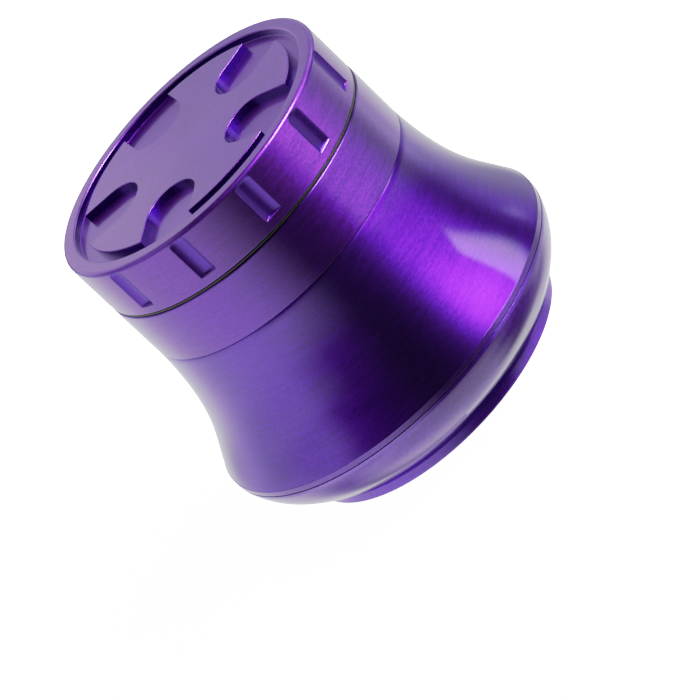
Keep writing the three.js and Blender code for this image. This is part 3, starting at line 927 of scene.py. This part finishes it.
def make_seals():
    """The two rubber seal rings, round in section."""
    for name, node, body, ring in (
        ("catcher_o_ring", "catcher_seal", "catcher_ring", 28.7),
        ("chamber_o_ring", "chamber_seal", "chamber_ring", 22.45),
    ):
        half = (high(node) - low(node)) / 2
        bm = bmesh.new()
        section = []
        for i in range(20):
            angle = 2 * math.pi * i / 20
            section.append(Vector((ring + half * math.cos(angle), half + half * math.sin(angle))))
        spin(bm, section, True)
        seal = piece_from(name, bm, low(node))
        finish_piece(seal, name, body, "black_rubber", [RUBBER], node)


def make_glide_ring():
    """The low-friction ring: a flange that shows under the lid and a sleeve on the spigot."""
    flange_low, flange_high = -0.45, -0.1
    corners = [
        (22.2, -2.75, 0.08),
        (22.65, -2.75, 0.15),
        (22.65, flange_low, 0.1),
        (24.85, flange_low, 0.1),
        (24.85, flange_high, 0.1),
        (22.2, flange_high, 0.08),
    ]
    ring = turned("glide_collar", corners, LID_FOOT, closed=True)
    finish_piece(ring, "glide_collar", "glide", "dark_nylon", [NYLON], "glide_ring")


def make_magnets():
    """Two nickel-plated discs."""
    for name, node, body in (
        ("lower_magnet_disc", "chamber_magnet", "chamber"),
        ("upper_magnet_disc", "lid_magnet", "lid"),
    ):
        height = high(node) - low(node)
        corners = [(0, 0), (MAGNET_RADIUS, 0, 0.2), (MAGNET_RADIUS, height, 0.2), (0, height)]
        disc = turned(name, corners, low(node))
        finish_piece(disc, name, body, "nickel_plate", [NICKEL], node)


def make_sieve_hoop():
    """The rolled hoop that grips the mesh, and the soft gasket over it."""
    height = high("sieve_frame") - low("sieve_frame")
    middle = height / 2
    corners = [
        (23.4, 0, 0.15),
        (25.2, 0, 0.25),
        (25.2, height, 0.25),
        (23.4, height, 0.15),
        (23.4, middle + 0.12, 0.05),
        (24.3, middle + 0.12),
        (24.3, middle - 0.12),
        (23.4, middle - 0.12, 0.05),
    ]
    hoop = turned("sieve_hoop", corners, low("sieve_frame"), closed=True)
    finish_piece(hoop, "sieve_hoop", "storage", "stainless_steel", [STEEL], "sieve_frame")

    thick = high("sieve_gasket") - low("sieve_gasket")
    corners = [(23.3, 0, 0.12), (25.1, 0, 0.12), (25.1, thick, 0.12), (23.3, thick, 0.12)]
    gasket = turned("sieve_gasket_ring", corners, low("sieve_gasket"), closed=True)
    finish_piece(gasket, "sieve_gasket_ring", "storage", "clear_silicone", [SILICONE], "sieve_gasket")


def make_snap_ring():
    """A flat spring ring, open at one side, with rounded edges."""
    node = "sieve_snap_ring"
    height = high(node) - low(node)
    corners = [(24.55, 0, 0.12), (25.85, 0, 0.12), (25.85, height, 0.12), (24.55, height, 0.12)]
    section = outline(corners, True)
    gap = math.radians(21)
    steps = 220
    bm = bmesh.new()
    rings = []
    for i in range(steps + 1):
        angle = gap + (2 * math.pi - 2 * gap) * i / steps
        rings.append([(p.x * math.cos(angle), p.x * math.sin(angle), p.y) for p in section])
    swept(bm, rings)
    ring = piece_from("snap_ring", bm, low(node))
    finish_piece(ring, "snap_ring", "storage", "stainless_steel", [STEEL], node)


def make_sieve_mesh():
    """Plain-woven wire, cut to a disc that ends inside the hoop."""
    reach, pitch, wire = 24.1, 0.7, 0.11
    middle = (low("sieve_mesh") + high("sieve_mesh")) / 2
    lines = int(reach / pitch)
    bm = bmesh.new()
    for direction in (0, 1):
        for line in range(-lines, lines + 1):
            offset = line * pitch
            half = math.sqrt(reach**2 - offset**2)
            count = int(half / pitch)
            if count < 1:
                continue
            rings = []
            for step in range(-2 * count, 2 * count + 1):
                along = step * pitch / 2
                crossing = math.cos(math.pi * along / pitch)
                sign = 1 if (line + direction) % 2 else -1
                height = sign * crossing * wire * 0.55
                ring = []
                for corner in range(5):
                    angle = 2 * math.pi * corner / 5
                    side, rise = wire / 2 * math.cos(angle), wire / 2 * math.sin(angle)
                    spot = (along, offset + side) if direction == 0 else (offset + side, along)
                    ring.append((*spot, height + rise))
                rings.append(ring)
            swept(bm, rings)
    mesh = piece_from("sieve_weave", bm, middle)
    looks = {"crease": 80, "cut_from_round": False}
    finish_piece(mesh, "sieve_weave", "storage", "stainless_steel", [STEEL], "sieve_mesh", **looks)


# --------------------------------------------------------------------------- stage


TONE_WHITE = 4.0
TONE_POINTS = [(0.2, 0.2), (0.45, 0.45), (1.05, 0.75), (1.55, 0.89), (2.4, 0.965)]


def make_floor():
    """A plain pale floor. It doesn't show in the metal, which mirrors the studio instead."""
    bm = bmesh.new()
    bmesh.ops.create_grid(bm, x_segments=1, y_segments=1, size=4000)
    floor = piece_from("floor", bm, -0.02)
    material, nodes, shader = new_material("pale_floor")
    shader.inputs["Base Color"].default_value = (0.8, 0.8, 0.8, 1)
    shader.inputs["Roughness"].default_value = 0.9
    shader.inputs["Emission Color"].default_value = (1, 1, 1, 1)
    shader.inputs["Emission Strength"].default_value = 3.0
    floor.data.materials.append(material)
    floor.visible_glossy = False
    floor.visible_diffuse = False


# The soft box stands askew, so three of its four edges slant.
SOFT_BOX_EDGES = [
    (1, -0.4, 65.7, 120, 1),
    (1, 0.7, 75.6, 300, 1),
    (1, -1.05, -90, 77, 7),
    (0, 1, -40, 31, 1),
]

# What the metal mirrors, as radiance by direction. Each light is the product of soft
# bands, and a band is (share of azimuth, share of elevation, start, end, softness) in
# degrees. Azimuth counts to the right from the camera. The camera's side stays dark.
STUDIO_LIGHTS = [
    ("left wall", [(1, 0, -190, -24, 28), (0, 1, -46, -8, 8)], 1.05),
    ("left upper wall", [(1, 0, -150, -52, 22), (0, 1, -8, 14, 8)], 0.82),
    ("left low panel", [(1, 0, -110, -20, 18), (0, 1, -62, -31, 6)], 0.75),
    ("left high panel", [(1, 0, -114, -64, 12), (0, 1, 16, 64, 12)], 0.73),
    ("right far low wall", [(1, 0, 116, 200, 14), (0, 1, -42, -18, 8)], 0.7),
    ("right far high wall", [(1, 0, 124, 200, 20), (0, 1, -60, 12, 10)], 0.45),
    ("right near wall", [(1, 0, 44, 124, 5), (0, 1, -50, -17, 4)], 0.55),
    ("left part of the back wall", [(1, 0, -220, -130, 14), (0, 1, 8, 54, 8)], 0.9),
    ("right part of the back wall", [(1, 0, 130, 220, 14), (0, 1, 8, 54, 8)], 0.5),
    ("right side", [(1, 0, 112, 144, 12), (0, 1, -18, 34, 10)], 0.07),
    ("right strip", [(1, 0, 114, 131, 4), (0, 1, 8, 34, 4)], 1.7),
    ("front", [(1, 0, -24, 44, 16), (0, 1, -60, 50, 14)], 0.025),
    ("soft box", SOFT_BOX_EDGES, 2.8),
    ("key light", [(1, 0, 48, 92, 4), (0, 1, 38, 58, 4)], 28.0),
    ("table", [(1, 0, -220, 66, 18), (0, 1, -100, -58, 9)], 0.95),
    ("table behind on the right", [(1, 0, 142, 220, 12), (0, 1, -100, -46, 9)], 1.0),
    ("table under the right side", [(1, 0, 66, 142, 14), (0, 1, -100, -70, 7)], 0.9),
    ("table behind on the left", [(1, 0, -220, -120, 16), (0, 1, -82, -44, 8)], 0.25),
]


def make_studio():
    """The studio round the object, as radiance by direction. The camera sees plain white."""
    world = bpy.data.worlds.new("studio")
    bpy.context.scene.world = world
    world.use_nodes = True
    nodes = Nodes(world.node_tree)
    background = world.node_tree.nodes["Background"]

    place = nodes.add("ShaderNodeTexCoord").outputs["Generated"]
    turn = nodes.add("ShaderNodeMapping", vector_type="POINT")
    turn.inputs["Rotation"].default_value[2] = math.radians(-90 - CAMERA_AZIMUTH)
    nodes.link(place, turn.inputs["Vector"])
    split = nodes.add("ShaderNodeSeparateXYZ")
    nodes.link(turn.outputs[0], split.inputs[0])
    toward = nodes.math("MULTIPLY", split.outputs["Y"], -1.0)
    degrees = 180 / math.pi
    azimuth = nodes.math("MULTIPLY", nodes.math("ARCTAN2", split.outputs["X"], toward), degrees)
    elevation = nodes.math("MULTIPLY", nodes.math("ARCSINE", split.outputs["Z"]), degrees)

    total = 0.0
    for _, bands, radiance in STUDIO_LIGHTS:
        light = radiance
        for azimuth_share, elevation_share, start, end, soft in bands:
            slanted = nodes.math("MULTIPLY", azimuth, azimuth_share)
            slanted = nodes.math("ADD", slanted, nodes.math("MULTIPLY", elevation, elevation_share))
            light = nodes.math("MULTIPLY", nodes.band(slanted, start, end, soft), light)
        total = nodes.math("ADD", light, total)

    path = nodes.add("ShaderNodeLightPath")
    seen = nodes.add("ShaderNodeMix", data_type="FLOAT")
    nodes.link(path.outputs["Is Camera Ray"], seen.inputs["Factor"])
    nodes.link(total, seen.inputs["A"])
    seen.inputs["B"].default_value = TONE_WHITE
    nodes.link(seen.outputs["Result"], background.inputs["Strength"])
    background.inputs["Color"].default_value = (1, 1, 1, 1)


def set_tone():
    """Rolls bright values off softly, so that strong purple turns towards magenta."""
    view = bpy.context.scene.view_settings
    view.view_transform = "Standard"
    view.use_curve_mapping = True
    view.curve_mapping.white_level = (TONE_WHITE, TONE_WHITE, TONE_WHITE)
    curve = view.curve_mapping.curves[3]
    for light, shown in TONE_POINTS:
        curve.points.new(light / TONE_WHITE, shown)
    view.curve_mapping.update()


# ------------------------------------------------------------------------ assembly

make_catcher_bowl()
make_storage_chamber()
make_grinding_chamber()
make_lid()
make_seals()
make_glide_ring()
make_magnets()
make_sieve_hoop()
make_snap_ring()
make_sieve_mesh()
make_floor()
make_studio()
set_tone()
